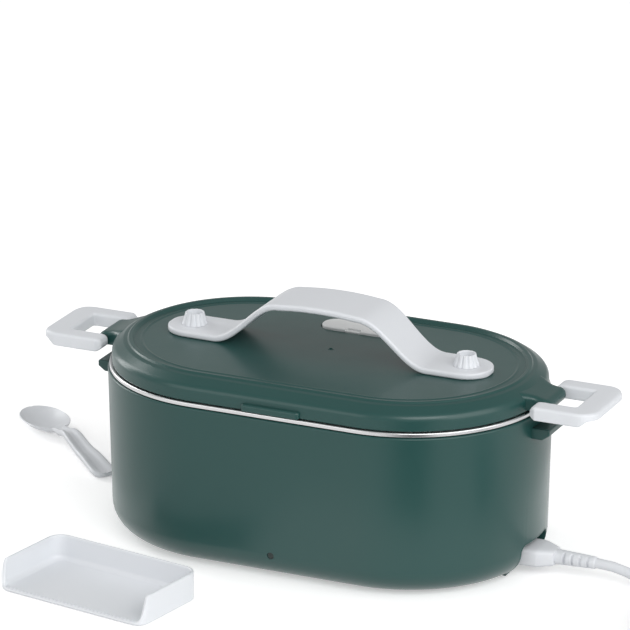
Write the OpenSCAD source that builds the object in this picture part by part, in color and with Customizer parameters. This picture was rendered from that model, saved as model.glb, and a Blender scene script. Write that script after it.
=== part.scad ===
// Electric lunch box: heated base, steel food container, lid with two side
// latches and a strap handle, spoon, separator and power cord. Millimetres.
// X runs along the box, Y towards its back, Z up; the table is at z = 0.

/* [Base] */
// Length of the base along X
base_length = 220; // [190:1:250]
// Width of the base along Y
base_width = 136; // [126:1:150]
// Height of the inner rim above the table
rim_height = 83; // [79:1:95]
// Wall thickness of the outer shell
shell_wall = 2.4; // [2:0.1:3]
// How far each side leans in towards the bottom
side_draft = 1.5; // [0.5:0.1:2]
// Radius of the rounded bottom edge
bottom_round = 13; // [11:0.5:14]
// Height of the feet under the base
foot_height = 1.6; // [1.2:0.1:2.4]
// Height of the inner rim above the outer ledge
rim_step = 1.5; // [1:0.1:3]

/* [Food container] */
// Width of the flat flange around the container
flange_width = 5.8; // [5:0.1:7]
// Thickness of the steel sheet
steel_sheet = 0.8; // [0.6:0.1:1]
// Height of the container
container_height = 59.8; // [56:0.1:60]
// Radius of the container's bottom edge
container_round = 14; // [10:0.5:18]

/* [Lid] */
// How far the lid's skirt is set in from the side of the base
lid_inset = 2; // [1:0.1:3]
// Height of the lid above its skirt
lid_rise = 12; // [11:0.5:14]
// Thickness of the lid's plastic
lid_wall = 2; // [1.6:0.1:2.4]

/* [Latches] */
// Width of a latch across Y
latch_width = 44; // [40:1:50]
// Length of a latch from its pin to its tip
latch_reach = 29.5; // [28:0.5:34]
// Thickness of a latch
latch_thickness = 6.6; // [5:0.2:7]
// Width of the catch lug on the base
lug_width = 22; // [18:1:24]

/* [Handle] */
// Distance from the middle of the handle to each fixing cap
handle_reach = 71; // [66:1:74]
// Width of the strap at its feet
strap_foot_width = 26; // [22:1:30]
// Width of the strap at the top of its arch
strap_crest_width = 31; // [26:1:36]
// Height of the arch over the feet
strap_rise = 22.5; // [16:0.5:24]
// Thickness of the strap
strap_thickness = 3.2; // [2.6:0.1:4]

/* [Accessories] */
// Length of the separator
separator_length = 84; // [76:1:104]
// Depth of the separator's panel
separator_depth = 47; // [36:1:50]
// Height of the separator's walls
separator_wall_height = 14; // [10:1:16]
// Length of the spoon
spoon_length = 98; // [92:1:120]

/* [Power cord] */
// Diameter of the cord
cord_d = 5; // [4:0.2:6]
// Distance between the two contacts of the appliance plug
contact_pitch = 8.6; // [8.4:0.1:8.8]

/* [Hidden] */

shell_green = "#3f5a55";
well_green = "#1d3a35";
cap_white = "#e6e7ea";
steel = "#b9bbbf";
fine = 96;
small = 32;
eps = 0.01;
rest_gap = 0.05;

// the stadium outline: two half circles whose centres are this far from the middle
end_shift = (base_length - base_width) / 2;
side = base_width / 2;
ledge_z = rim_height - rim_step;

// base
inner_side = side - shell_wall;
flat_side = side - side_draft - bottom_round;
cover_t = 2;
cover_gap = 0.3;
lip_width = 3;
lip_z = foot_height + cover_t + rest_gap;
lug_reach = 8;
lug_top = ledge_z - 5.5;
lug_bottom = lug_top - 5.5;
screw_x = 20;
screw_y = 45.3;
screw_r = 1.5;
screw_head_r = 2.8;
foot_r = 6.5;
foot_angle = 40;
foot_ring = 44;
foot_seat = 0.7;
led_z = 13.4;
led_r = 1.6;

// well
well_wall = 1.4;
well_side = inner_side - 0.1;
well_floor_z = rim_height - 62;
well_floor_t = 1.8;
well_round = 11;
plate_opening = 36;

// heater
plate_top = rim_height + steel_sheet + rest_gap - container_height - 0.25;
plate_t = 2;
plate_side = 42;
spigot_side = 34;
spigot_z = well_floor_z - 4;
fuse_z = spigot_z - 2.05;
heater_size = [70, 24, 5];
heater_z = spigot_z - heater_size[2] / 2;

// inlet
inlet_z = 9.1;
recess_back = end_shift + 57;
recess_half = 15;
recess_top = 17;
pocket_wall = 1.6;
barrel_r = 4.15;
socket_r = barrel_r + 0.3;
socket_depth = 12;
socket_front = recess_back - pocket_wall - 0.05;

// container
flange_side = side - 0.8;
mouth_side = flange_side - flange_width;
flange_z = rim_height + rest_gap;
container_draft = 2;
container_bottom = flange_z + steel_sheet - container_height;

// lid
lid_side = side - lid_inset;
skirt_z = flange_z + steel_sheet + 0.4;
panel_z = skirt_z + lid_rise - 1.4;
bead_z = skirt_z + lid_rise;
bead_side = lid_side - 10;
pin_x = end_shift + side + 4.6;
pin_z = skirt_z + 3;
pin_r = 1.2;
pin_clearance = 0.05;
ear_half = lug_width / 2;
window_half = ear_half + 1.2;
nose_r = 3.4;
latch_catch = pin_z - lug_bottom + 0.3;
latch_corner = 9;

// handle
foot_top = panel_z + strap_thickness;
vent_at = [0, 34];
vent_size = [38, 15];
tab_half = 15;

// loose pieces on the table
separator_at = [-67.5, -112, 0];
separator_turn = -10;
separator_wall = 1.6;
separator_corner = 8;
spoon_at = [-206.2, 86.1, 0];
spoon_turn = -40;
bowl_length = 36;
bowl_width = 24;

// appliance plug, measured along X from the back of the recess
shoulder_x = recess_back + 0.6;
nose_length = 13.5;
grip_length = 19;
relief_length = 20;
relief_end = shoulder_x + grip_length + relief_length;

// power cord: the stretch from the relief to the coil
cord_lay = cord_d / 2 + 0.1;
coil_centre = [222, -47];
coil_r = 29;
coil_turns = 4;
coil_pitch = cord_d + 0.2;
coil_height = (coil_turns + 1) * coil_pitch;
cord_route = [
    [relief_end, 0, inlet_z], [147, 0, 8.6], [154, -0.2, 7.2], [161, -0.8, 5.2],
    [168, -1.8, 3.6], [175, -3.4, 2.8], [182, -5.6, cord_lay], [190, -8.6, cord_lay],
    [198, -12, cord_lay], [206, -15.2, cord_lay], [214, -17.4, cord_lay],
    [222, -18, cord_lay]
];
coil_top = cord_lay + (coil_turns + 0.25) * coil_pitch;
tail_route = [
    [251, -47, coil_top], [251.2, -54, 24.2], [251.6, -61, 22.4], [252.2, -68, 19.4],
    [253, -75, 15.8], [254, -82, 12.4], [255, -89, 9.8], [256, -96, 8.4], [256.8, -103, 8]
];
mains_x = 256.8;
mains_y = -103;
mains_z = 8;
mains_body = [14, 36, 15.6];
mains_pin_r = 2;
mains_root_r = 1.6;
mains_pin_pitch = 18.6;
mains_pin_length = 19;

// ---- shared shapes ----

// points of an arc in the plane
function arc(centre, r, from, to, steps = 8) =
    [for (i = [0:steps]) centre + r * [cos(from + (to - from) * i / steps),
                                       sin(from + (to - from) * i / steps)]];

// a solid stadium of half width r, standing on z = 0
module stadium(r, h) {
    for (s = [-1, 1]) translate([s * end_shift, 0, 0]) cylinder(r = r, h = h, $fn = fine);
    translate([-end_shift, -r, 0]) cube([2 * end_shift, 2 * r, h]);
}

// sweeps a half profile (distance from the middle, height) round the stadium
module sweep_round() {
    for (s = [0, 1]) mirror([s, 0, 0]) translate([end_shift, 0, 0]) rotate([0, 0, -90])
        rotate_extrude(angle = 180, $fn = fine) children();
    for (s = [0, 1]) mirror([0, s, 0]) rotate([90, 0, 90])
        linear_extrude(2 * end_shift, center = true) children();
}

// the same where the profile reaches the middle line
module fill_round() {
    for (s = [0, 1]) mirror([s, 0, 0]) translate([end_shift, 0, 0]) rotate([0, 0, -90])
        rotate_extrude(angle = 180, $fn = fine) children();
    rotate([90, 0, 90]) linear_extrude(2 * end_shift, center = true) {
        children();
        mirror([1, 0]) children();
    }
}

// extrudes an outline drawn in X and Z across Y, centred
module across(width) {
    translate([0, width / 2, 0]) rotate([90, 0, 0]) linear_extrude(width) children();
}

// a cylinder lying along X
module rod_x(r, l) {
    rotate([0, 90, 0]) cylinder(r = r, h = l, $fn = small);
}

// a tube swept along a list of points
function unit(v) = v / norm(v);
function heading(p, i) = unit(p[min(i + 1, len(p) - 1)] - p[max(i - 1, 0)]);
function ring(centre, dir, r, sides) =
    let (flat = unit(cross(dir, [0, 0, 1])), lift = cross(flat, dir))
    [for (k = [0:sides - 1]) centre + r * (cos(360 * k / sides) * flat
                                           + sin(360 * k / sides) * lift)];
module tube(points, r, sides = 8) {
    n = len(points);
    rings = [for (i = [0:n - 1]) each ring(points[i], heading(points, i), r, sides)];
    walls = [for (i = [0:n - 2], k = [0:sides - 1])
        [i * sides + k, (i + 1) * sides + k, (i + 1) * sides + (k + 1) % sides,
         i * sides + (k + 1) % sides]];
    caps = [[for (k = [0:sides - 1]) k],
            [for (k = [sides - 1:-1:0]) (n - 1) * sides + k]];
    polyhedron(rings, concat(walls, caps));
}

// ---- heated base ----

module outer_volume() {
    fill_round() polygon(concat(
        [[0, foot_height], [flat_side, foot_height]],
        arc([flat_side, foot_height + bottom_round], bottom_round, -90, 0),
        [[side, ledge_z - 0.7], [side - 0.7, ledge_z], [0, ledge_z]]));
}

module shell_wall_ring() {
    sweep_round() polygon(concat(
        [[flat_side, foot_height]],
        arc([flat_side, foot_height + bottom_round], bottom_round, -90, 0),
        [[side, ledge_z - 0.7], [side - 0.7, ledge_z], [inner_side, ledge_z]],
        arc([flat_side, foot_height + bottom_round], bottom_round - shell_wall, 0, -75),
        [[flat_side - lip_width, lip_z + 2], [flat_side - lip_width, lip_z],
         [flat_side, lip_z]]));
}

module catch_lug() {
    start = end_shift + side - 2;
    tip = end_shift + side + lug_reach;
    across(lug_width) polygon([
        [start, lug_top], [tip - 0.8, lug_top], [tip, lug_top - 0.8],
        [tip, lug_top - 3], [tip - 3.5, lug_bottom], [start, lug_bottom]]);
}

module recess_outline(grow, bottom) {
    r = 3.5 + grow;
    half = recess_half + grow;
    top = recess_top + grow;
    for (s = [-1, 1]) translate([s * (half - r), top - r]) circle(r, $fn = small);
    translate([-half, bottom]) square([2 * half, top - r - bottom]);
    translate([r - half, top - r - eps]) square([2 * (half - r), r + eps]);
}

module recess_prism(from_x, to_x, grow, bottom) {
    translate([from_x, 0, 0]) rotate([90, 0, 90])
        linear_extrude(to_x - from_x) recess_outline(grow, bottom);
}

module base_shell() {
    color(shell_green) difference() {
        union() {
            difference() {
                shell_wall_ring();
                translate([end_shift + flat_side - lip_width - 2, -13, lip_z - eps])
                    cube([lip_width + 4, 26, 4]);
            }
            for (s = [0, 1]) mirror([s, 0, 0]) catch_lug();
            intersection() {
                outer_volume();
                recess_prism(recess_back - pocket_wall, recess_back + 20, pocket_wall,
                             foot_height);
            }
        }
        recess_prism(recess_back, recess_back + 20, 0, -1);
        for (y = [-1, 1]) translate([recess_back - 10, y * contact_pitch / 2, inlet_z])
            rod_x(barrel_r + 0.6, 20);
        translate([recess_back - 10, -contact_pitch / 2, inlet_z - 3])
            cube([20, contact_pitch, 6]);
        translate([0, -side - 2, led_z]) rotate([-90, 0, 0])
            cylinder(r = led_r + 0.15, h = 8, $fn = small);
    }
}

module inner_well() {
    lean = 2;
    floor_side = well_side - lean - well_round;
    floor_bottom = well_floor_z - well_floor_t;
    color(well_green) difference() {
        union() {
            sweep_round() polygon(concat(
                [[well_side, rim_height - 0.3], [well_side - 0.3, rim_height],
                 [well_side - well_wall, rim_height]],
                arc([floor_side, well_floor_z + well_round - well_wall],
                    well_round - well_wall, 0, -90),
                [[plate_opening, well_floor_z], [plate_opening, floor_bottom]],
                arc([floor_side, floor_bottom + well_round], well_round, -90, 0)));
            for (x = [-1, 1], y = [-1, 1]) translate([x * screw_x, y * screw_y, 6.1])
                cylinder(r = 3.6, h = floor_bottom - 6.1 + 0.5, $fn = small);
        }
        for (x = [-1, 1], y = [-1, 1]) translate([x * screw_x, y * screw_y, 5])
            cylinder(r = screw_r, h = 10, $fn = small);
    }
}

module foot_places() {
    for (x = [-1, 1], y = [-1, 1])
        translate([x * (end_shift + foot_ring * cos(foot_angle)),
                   y * foot_ring * sin(foot_angle), 0]) children();
}

module bottom_cover() {
    color(shell_green) difference() {
        union() {
            translate([0, 0, foot_height]) stadium(flat_side - cover_gap, cover_t);
            for (x = [-1, 1], y = [-1, 1]) translate([x * screw_x, y * screw_y, foot_height])
                cylinder(r = 4.8, h = 6.05 - foot_height, $fn = small);
        }
        for (x = [-1, 1], y = [-1, 1]) translate([x * screw_x, y * screw_y, 0]) {
            cylinder(r = screw_r + 0.2, h = 10, $fn = small);
            cylinder(r = screw_head_r + 0.3, h = foot_height + 2.2, $fn = small);
        }
        foot_places() {
            cylinder(r = 2.2, h = 10, $fn = small);
            cylinder(r = foot_r + 0.3, h = foot_height + foot_seat, $fn = small);
        }
        for (i = [-2.5:2.5]) translate([i * 9 - 1, -14, 0]) cube([2, 28, 10]);
    }
}

module base_screws() {
    color("silver") for (x = [-1, 1], y = [-1, 1])
        translate([x * screw_x, y * screw_y, foot_height + 0.2]) difference() {
            union() {
                cylinder(r = screw_head_r, h = 2, $fn = small);
                translate([0, 0, 1.9]) cylinder(r = screw_r, h = 11, $fn = small);
            }
            translate([-2, -0.35, -1]) cube([4, 0.7, 1.8]);
            translate([-0.35, -2, -1]) cube([0.7, 4, 1.8]);
        }
}

module rubber_feet() {
    color("#30343a") foot_places() {
        cylinder(r = foot_r, h = foot_height + foot_seat, $fn = small);
        cylinder(r = 2.2, h = foot_height + cover_t, $fn = small);
    }
}

module heating_plate() {
    color("silver") {
        translate([0, 0, plate_top - plate_t]) stadium(plate_side, plate_t);
        translate([0, 0, spigot_z]) difference() {
            stadium(spigot_side, plate_top - plate_t - spigot_z + eps);
            for (x = [-1, 1]) translate([x * 46, 0, -eps]) cylinder(r = 1.5, h = 4, $fn = small);
        }
    }
}

module plate_gasket() {
    low = well_floor_z;
    high = plate_top - plate_t;
    color("#c9cdd2") sweep_round() polygon([
        [spigot_side + 0.4, low], [plate_side - 1, low], [plate_side - 1, high],
        [spigot_side + 0.4, high]]);
}

module ptc_heater() {
    color("#d8c7a0")
        translate([-heater_size[0] / 2, -heater_size[1] / 2, spigot_z - heater_size[2]])
            cube(heater_size);
}

module heater_clamp() {
    low = spigot_z - heater_size[2] - 1.2;
    color("silver") difference() {
        union() {
            translate([-39, -6, low]) cube([78, 12, 1.2]);
            for (s = [0, 1]) mirror([s, 0, 0]) {
                translate([37.8, -6, low]) cube([1.2, 12, spigot_z - low]);
                translate([37.8, -6, spigot_z - 1.2]) cube([13, 12, 1.2]);
            }
        }
        for (x = [-1, 1]) translate([x * 46, 0, 0]) cylinder(r = 1.6, h = 20, $fn = small);
    }
}

module clamp_screws() {
    color("silver") for (x = [-1, 1]) translate([x * 46, 0, spigot_z - 3]) {
        cylinder(r = 2.7, h = 1.8, $fn = small);
        cylinder(r = 1.5, h = 6.8, $fn = small);
    }
}

module thermal_fuse() {
    color("#e8e4da") translate([-6, 22, fuse_z]) rod_x(2, 14);
    color("silver") translate([-12, 22, fuse_z]) rod_x(0.5, 26);
}

module inlet_socket() {
    color("#22282a") difference() {
        translate([socket_front - socket_depth - 2, -10.6, lip_z + 0.1])
            cube([socket_depth + 2, 21.2, 2 * (inlet_z - lip_z - 0.1)]);
        for (y = [-1, 1])
            translate([socket_front - socket_depth, y * contact_pitch / 2, inlet_z])
                rod_x(socket_r, socket_depth + 1);
        translate([socket_front - socket_depth, -contact_pitch / 2, inlet_z - 2.8])
            cube([socket_depth + 1, contact_pitch, 5.6]);
        for (y = [-1, 1])
            translate([socket_front - socket_depth - 3, y * contact_pitch / 2, inlet_z])
                rod_x(1.15, 4);
    }
}

module inlet_pins() {
    color("silver") for (y = [-1, 1])
        translate([socket_front - socket_depth - 6, y * contact_pitch / 2, inlet_z])
            rod_x(1.15, socket_depth + 3);
}

module led_board() {
    color("#2f6b45") translate([-8, -58.8, 8]) cube([16, 1.2, 10]);
}

module led_lamp() {
    color("#d9e6df") translate([0, -58.8, led_z]) rotate([90, 0, 0]) {
        cylinder(r = led_r, h = side - side_draft - 58.8 - 0.6, $fn = small);
        cylinder(r = led_r + 0.5, h = 1, $fn = small);
    }
}

module inner_wires() {
    tail = socket_front - socket_depth - 6;
    color("firebrick") {
        tube([[tail, 4.3, inlet_z], [75, 5, 9], [66, 9, 8.6], [56, 14, 8.4], [44, 19, 9],
              [30, 22, 11.6], [20, 22, 14], [14, 22, fuse_z]], 0.8);
        tube([[-12, 22, fuse_z], [-18, 22, 14.4], [-26, 20, 13.2], [-34, 15, 13.2],
              [-37.4, 11, 13.8], [-35.8, 8.6, heater_z]], 0.8);
    }
    color("#2f5fa8") tube([[tail, -4.3, inlet_z], [75, -5, 9], [66, -9, 8.6],
        [56, -14, 8.4], [46, -16, 10], [39, -13, 12.8], [35.8, -9.4, heater_z]], 0.8);
    color("#d8d8d0") tube([[40, -21, 8.6], [30, -28, 8.6], [14, -38, 8.8], [8, -48, 9.2],
        [5, -55, 10], [3, -57.4, 10.6]], 0.6);
}

// ---- food container ----

module food_container() {
    top = flange_z + steel_sheet;
    floor_side = mouth_side - container_draft - container_round;
    inner_round = container_round - steel_sheet;
    color(steel) fill_round() polygon(concat(
        [[0, container_bottom]],
        arc([floor_side, container_bottom + container_round], container_round, -90, 0),
        [[mouth_side, flange_z - 0.6], [mouth_side + 0.6, flange_z],
         [flange_side - steel_sheet, flange_z], [flange_side - steel_sheet, flange_z - 1.2],
         [flange_side, flange_z - 1.2], [flange_side, top - 0.3], [flange_side - 0.3, top],
         [mouth_side + 0.3, top], [mouth_side - steel_sheet, top - 1]],
        arc([floor_side, container_bottom + container_round], inner_round, 0, -90),
        [[0, container_bottom + steel_sheet]]));
}

// ---- lid ----

module lid_skin() {
    fill_round() polygon(concat(
        [[lid_side - lid_wall, skirt_z], [lid_side, skirt_z], [lid_side, skirt_z + 2.5]],
        arc([lid_side - 9, skirt_z + 2.5], 9, 8, 80, 7),
        [[bead_side + 1.5, bead_z - 0.2], [bead_side, bead_z], [bead_side - 1.5, bead_z - 0.3],
         [bead_side - 2.4, panel_z + 0.1], [bead_side - 3, panel_z], [0, panel_z],
         [0, panel_z - lid_wall], [bead_side - 1, panel_z - lid_wall]],
        arc([lid_side - 9, skirt_z + 2.5], 9 - lid_wall, 72, 0, 5)));
}

module ear() {
    across(lug_width) difference() {
        union() {
            polygon([[pin_x - 12.4, pin_z + 1], [pin_x - 11.4, pin_z + 6.4],
                     [pin_x - 4, pin_z + 4.6], [pin_x + 0.4, pin_z + nose_r],
                     [pin_x, pin_z - nose_r], [pin_x - 8.3, pin_z - 2.8],
                     [pin_x - 8.3, pin_z - 1.2]]);
            translate([pin_x, pin_z]) circle(nose_r, $fn = 48);
        }
        translate([pin_x, pin_z]) circle(pin_r, $fn = 48);
    }
}

module lid_shell() {
    color(shell_green) difference() {
        union() {
            lid_skin();
            for (s = [0, 1]) mirror([s, 0, 0]) ear();
            translate([-tab_half, -lid_side - 2.2, skirt_z]) cube([2 * tab_half, 3.6, 3.4]);
        }
        translate([0, 0, panel_z - 1]) vent_outline(0, 3);
        translate([vent_at[0] - 11, vent_at[1], panel_z - 5]) cylinder(r = 2.3, h = 8, $fn = small);
        translate([vent_at[0] + 11, vent_at[1], panel_z - 5]) cylinder(r = 2.3, h = 8, $fn = small);
        translate([0, 2, panel_z - 5]) cylinder(r = 0.8, h = 8, $fn = small);
        for (x = [-1, 1]) translate([x * handle_reach, 0, panel_z - 5])
            cylinder(r = 1.5, h = 8, $fn = small);
    }
}

module lid_inner_plate() {
    color(cap_white) difference() {
        union() {
            translate([0, 0, skirt_z + 1.4]) stadium(lid_side - 6.2, 1.4);
            for (x = [-1, 1]) translate([x * handle_reach, 0, skirt_z + 2.8 - eps])
                cylinder(r = 6, h = panel_z - lid_wall - skirt_z - 2.8, $fn = small);
        }
        for (x = [-1, 1]) translate([x * handle_reach, 0, skirt_z - 5]) {
            cylinder(r = 1.6, h = 20, $fn = small);
            cylinder(r = 3.2, h = 8.2, $fn = small);
        }
    }
}

module lid_seal() {
    inner = mouth_side - 6;
    color("#eef0f0") sweep_round() polygon([
        [inner, skirt_z - 4.4], [mouth_side - steel_sheet - 0.9, skirt_z - 4.4],
        [mouth_side - steel_sheet - 0.4, skirt_z - 1.6], [mouth_side - 0.7, skirt_z - 0.35],
        [lid_side - lid_wall - 0.4, skirt_z - 0.35], [lid_side - lid_wall - 0.4, skirt_z + 1.35],
        [inner, skirt_z + 1.35]]);
}

// height of the strap's underside over its foot, along X
function strap_lift(x) =
    let (t = min(max((abs(x) - 20) / 36, 0), 1)) strap_rise * (0.5 + 0.5 * cos(180 * t))
    - 1.2 * pow(min(abs(x), 20) / 20, 2) * (1 - t);

module handle_strap() {
    reach = handle_reach + strap_foot_width / 2 + 1;
    steps = [for (x = [-56:4:56]) x];
    lower = concat([[-reach, 0]], [for (x = steps) [x, strap_lift(x)]], [[reach, 0]]);
    upper = [for (i = [len(lower) - 1:-1:0]) lower[i] + [0, strap_thickness]];
    color(cap_white) difference() {
        intersection() {
            translate([0, 0, panel_z + rest_gap]) across(60) polygon(concat(lower, upper));
            translate([0, 0, panel_z - 1]) linear_extrude(strap_rise + 12) {
                polygon([
                    [-handle_reach, -strap_foot_width / 2], [-40, -strap_foot_width / 2 - 0.6],
                    [-22, -strap_crest_width / 2], [22, -strap_crest_width / 2],
                    [40, -strap_foot_width / 2 - 0.6], [handle_reach, -strap_foot_width / 2],
                    [handle_reach, strap_foot_width / 2], [40, strap_foot_width / 2 + 0.6],
                    [22, strap_crest_width / 2], [-22, strap_crest_width / 2],
                    [-40, strap_foot_width / 2 + 0.6], [-handle_reach, strap_foot_width / 2]]);
                for (s = [-1, 1]) translate([s * handle_reach, 0])
                    circle(strap_foot_width / 2, $fn = fine);
            }
        }
        for (s = [-1, 1]) translate([s * handle_reach, 0, panel_z - 1])
            cylinder(r = 3.6, h = 10, $fn = small);
    }
}

module handle_caps() {
    color(cap_white) for (s = [-1, 1]) translate([s * handle_reach, 0, foot_top + 0.1])
        difference() {
            union() {
                cylinder(r1 = 6.3, r2 = 4.3, h = 5.8, $fn = fine);
                translate([0, 0, -strap_thickness - 0.05])
                    cylinder(r = 3.5, h = strap_thickness + 0.1, $fn = small);
            }
            translate([0, 0, 3.6]) cylinder(r = 3.1, h = 4, $fn = small);
            translate([0, 0, -10]) cylinder(r = 1.3, h = 12, $fn = small);
            for (a = [0:30:330]) rotate([0, 0, a]) translate([7, 0, -eps])
                rotate([0, -17, 0]) cylinder(r = 1.1, h = 9, $fn = small);
        }
}

module handle_screws() {
    color("silver") for (s = [-1, 1]) translate([s * handle_reach, 0, skirt_z + 1.2]) {
        cylinder(r = 2.8, h = 2, $fn = small);
        cylinder(r = 1.3, h = foot_top + 1.6 - skirt_z - 1.2, $fn = small);
    }
}

module latch_pins() {
    color("silver") for (s = [-1, 1])
        translate([s * pin_x, latch_width / 2 - 1.6, pin_z]) rotate([90, 0, 0])
            cylinder(r = pin_r, h = latch_width - 3.2, $fn = 48);
}

module vent_outline(gap, h) {
    r = vent_size[1] / 2 - gap;
    span = (vent_size[0] - vent_size[1]) / 2;
    translate([vent_at[0], vent_at[1], 0]) {
        for (s = [-1, 1]) translate([s * span, 0, 0]) cylinder(r = r, h = h, $fn = 64);
        translate([-span, -r, 0]) cube([2 * span, 2 * r, h]);
    }
}

module vent_plug() {
    color("#f2f2ee") {
        difference() {
            translate([0, 0, panel_z - 0.9]) vent_outline(0.6, 2.2);
            translate([vent_at[0] - 4, vent_at[1] - 9, panel_z + 0.5]) cube([8, 5, 2]);
        }
        for (s = [-1, 1]) translate([vent_at[0] + s * 11, vent_at[1], panel_z - 3.4])
            cylinder(r = 2, h = 3, $fn = small);
    }
}

module latch() {
    half_t = latch_thickness / 2;
    tip = pin_x + latch_reach;
    color(cap_white) difference() {
        union() {
            translate([pin_x, latch_width / 2, pin_z]) rotate([90, 0, 0])
                cylinder(r = half_t, h = latch_width, $fn = 48);
            translate([pin_x, 0, pin_z - half_t]) linear_extrude(latch_thickness) {
                translate([0, -latch_width / 2])
                    square([latch_reach - latch_corner, latch_width]);
                translate([latch_reach - latch_corner, -latch_width / 2 + latch_corner])
                    square([latch_corner, latch_width - 2 * latch_corner]);
                for (y = [-1, 1])
                    translate([latch_reach - latch_corner, y * (latch_width / 2 - latch_corner)])
                        circle(latch_corner, $fn = 64);
            }
        }
        translate([pin_x - 10, -window_half, pin_z - 10])
            cube([10 + latch_catch, 2 * window_half, 20]);
        translate([tip + 0.4, latch_width, pin_z - half_t - 1]) rotate([90, 0, 0])
            cylinder(r = 4.6, h = 2 * latch_width, $fn = 64);
        translate([pin_x, latch_width, pin_z]) rotate([90, 0, 0])
            cylinder(r = pin_r + pin_clearance, h = 2 * latch_width, $fn = 48);
    }
}

module latch_right() { latch(); }
module latch_left() { mirror([1, 0, 0]) latch(); }

// ---- loose accessories ----

// the panel's outline with two rounded corners at the back, reaching to the given front
module separator_plan(gap, front) {
    x = separator_length / 2;
    y = separator_depth / 2;
    r = separator_corner;
    for (s = [-1, 1]) translate([s * (x - r), y - r]) circle(r - gap, $fn = small);
    translate([gap - x, front]) square([2 * (x - gap), y - r - front]);
    translate([r - x, 0]) square([2 * (x - r), y - gap]);
}

module separator() {
    x = separator_length / 2;
    y = separator_depth / 2;
    color(cap_white) translate(separator_at) rotate([0, 0, separator_turn]) {
        linear_extrude(separator_wall_height) difference() {
            separator_plan(0, -y);
            separator_plan(separator_wall, -y - 1);
        }
        linear_extrude(separator_wall) intersection() {
            separator_plan(0, -y);
            union() {
                for (s = [-1, 1]) translate([s * (x - 6), 6 - y]) circle(6, $fn = small);
                translate([6 - x, -y]) square([2 * x - 12, 20]);
                translate([-x, 6 - y]) square([2 * x, 2 * y]);
            }
        }
    }
}

module spoon_bowl() {
    translate([bowl_length / 2, 0, 6.6]) difference() {
        scale([bowl_length / 2, bowl_width / 2, 6.6]) sphere(1, $fn = 28);
        scale([bowl_length / 2 - 1.3, bowl_width / 2 - 1.3, 5.3]) sphere(1, $fn = 28);
        translate([-30, -20, 0]) cube([60, 40, 10]);
    }
}

module spoon_handle() {
    l = spoon_length;
    start = bowl_length - 2.6;
    intersection() {
        across(20) polygon([
            [start, 5.4], [start + 8, 8], [start + 16, 10.4], [l * 0.72, 6.8], [l, 3.8],
            [l, 0], [l * 0.72, 3.4], [start + 16, 6.8], [start + 8, 4.6], [start, 2.4]]);
        linear_extrude(30) polygon([
            [start, -4], [start + 10, -3.4], [l * 0.6, -4.6], [l - 5, -6], [l, -3.6],
            [l, 3.6], [l - 5, 6], [l * 0.6, 4.6], [start + 10, 3.4], [start, 4]]);
    }
}

module spoon() {
    color(cap_white) translate(spoon_at) rotate([0, 0, spoon_turn]) {
        spoon_bowl();
        spoon_handle();
    }
}

// ---- power cord ----

module plug_body() {
    color(cap_white) difference() {
        union() {
            for (y = [-1, 1])
                translate([shoulder_x - nose_length, y * contact_pitch / 2, inlet_z])
                    rod_x(barrel_r, nose_length + 1);
            translate([shoulder_x - nose_length, -contact_pitch / 2, inlet_z - 2.4])
                cube([nose_length + 1, contact_pitch, 4.8]);
            intersection() {
                translate([0, 0, inlet_z]) linear_extrude(9.4, center = true) polygon([
                    [shoulder_x, -8.9], [shoulder_x + 1, -9.3], [shoulder_x + 11, -8.9],
                    [shoulder_x + grip_length, -5.2], [shoulder_x + grip_length, 5.2],
                    [shoulder_x + 11, 8.9], [shoulder_x + 1, 9.3], [shoulder_x, 8.9]]);
                translate([0, 0, inlet_z]) across(24) polygon([
                    [shoulder_x, -4.3], [shoulder_x + 0.5, -4.7], [shoulder_x + 12, -4.7],
                    [shoulder_x + grip_length, -3.7], [shoulder_x + grip_length, 3.7],
                    [shoulder_x + 12, 4.7], [shoulder_x + 0.5, 4.7], [shoulder_x, 4.3]]);
            }
        }
        for (y = [-1, 1])
            translate([shoulder_x - nose_length - 1, y * contact_pitch / 2, inlet_z])
                rod_x(1.5, nose_length + 3);
    }
}

module plug_contacts() {
    color("silver") for (y = [-1, 1])
        translate([shoulder_x - 3, y * contact_pitch / 2, inlet_z]) difference() {
            rod_x(1.5, 4.9);
            translate([-1, 0, 0]) rod_x(1.45, 4);
        }
}

module strain_relief() {
    start = shoulder_x + grip_length;
    color(cap_white) difference() {
        translate([start, 0, inlet_z]) rotate([0, 90, 0])
            cylinder(r1 = 3.7, r2 = cord_d / 2 + 0.5, h = relief_length, $fn = small);
        for (i = [0:3], s = [-1, 1])
            translate([start + 4 + i * 4, s * 3 - 1.5 + s * 0.6, inlet_z - 5])
                cube([1.2, 3, 10]);
    }
}

module power_cord() {
    color(cap_white) tube(cord_route, cord_d / 2);
}

module cord_coil() {
    r = coil_r;
    c = cord_d / 2;
    color(cap_white) translate([coil_centre[0], coil_centre[1], 0])
        rotate_extrude($fn = fine) polygon([
            [r - c - 0.1, 1], [r - c + 0.9, 0.05], [r + c - 0.9, 0.05], [r + c + 0.1, 1],
            [r + c + 0.1, coil_top + 1.6], [r + c - 0.9, coil_top + c],
            [r - c + 0.9, coil_top + c], [r - c - 0.1, coil_top + 1.6]]);
}

module coil_tie() {
    color("#2b2b2b")
        translate([coil_centre[0] - coil_r - 4.2, coil_centre[1] - 4, 0.02]) difference() {
            cube([8.4, 8, coil_top + 3.6]);
            translate([1.5, -1, 0.02]) cube([5.4, 10, coil_top + 2.6]);
        }
}

module cord_tail() {
    color(cap_white) tube(tail_route, cord_d / 2);
}

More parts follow.
